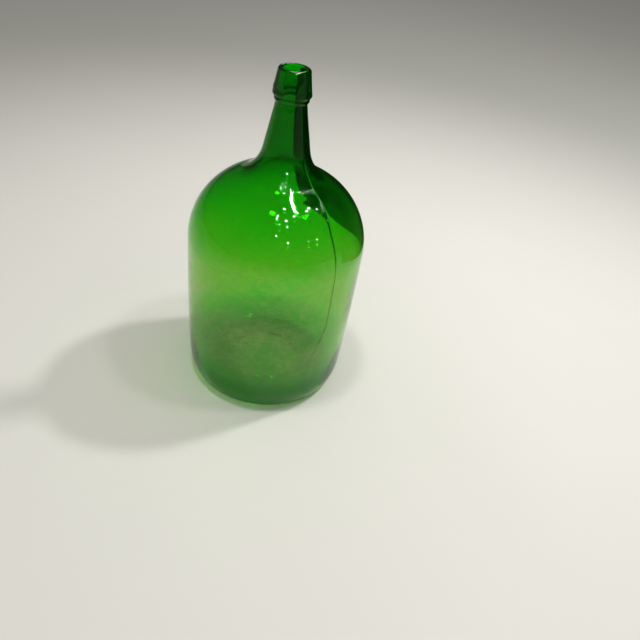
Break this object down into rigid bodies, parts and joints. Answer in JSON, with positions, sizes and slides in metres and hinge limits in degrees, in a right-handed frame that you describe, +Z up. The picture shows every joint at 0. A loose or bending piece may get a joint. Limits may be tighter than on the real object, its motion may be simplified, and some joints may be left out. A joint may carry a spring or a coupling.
{
  "type": "glass carboy",
  "caption": "Round green glass carboy for fermenting and storing wine or beer, with a tapered neck and a hand-applied collar around its mouth.",
  "frame": {"origin": "centre of the circle that the carboy stands on", "axes": "+Z up along the axis of the body and the neck; the two mould seams lie in the XZ plane"},
  "size_m": [0.2238, 0.223, 0.42],
  "materials": {
    "vessel_glass": "gloss",
    "ring_glass": "gloss",
    "collar_glass": "gloss"
  },
  "bodies": {
    "root": {"blown_vessel": "vessel_glass", "string_ring": "ring_glass", "applied_collar": "collar_glass"}
  },
  "joints": []
}
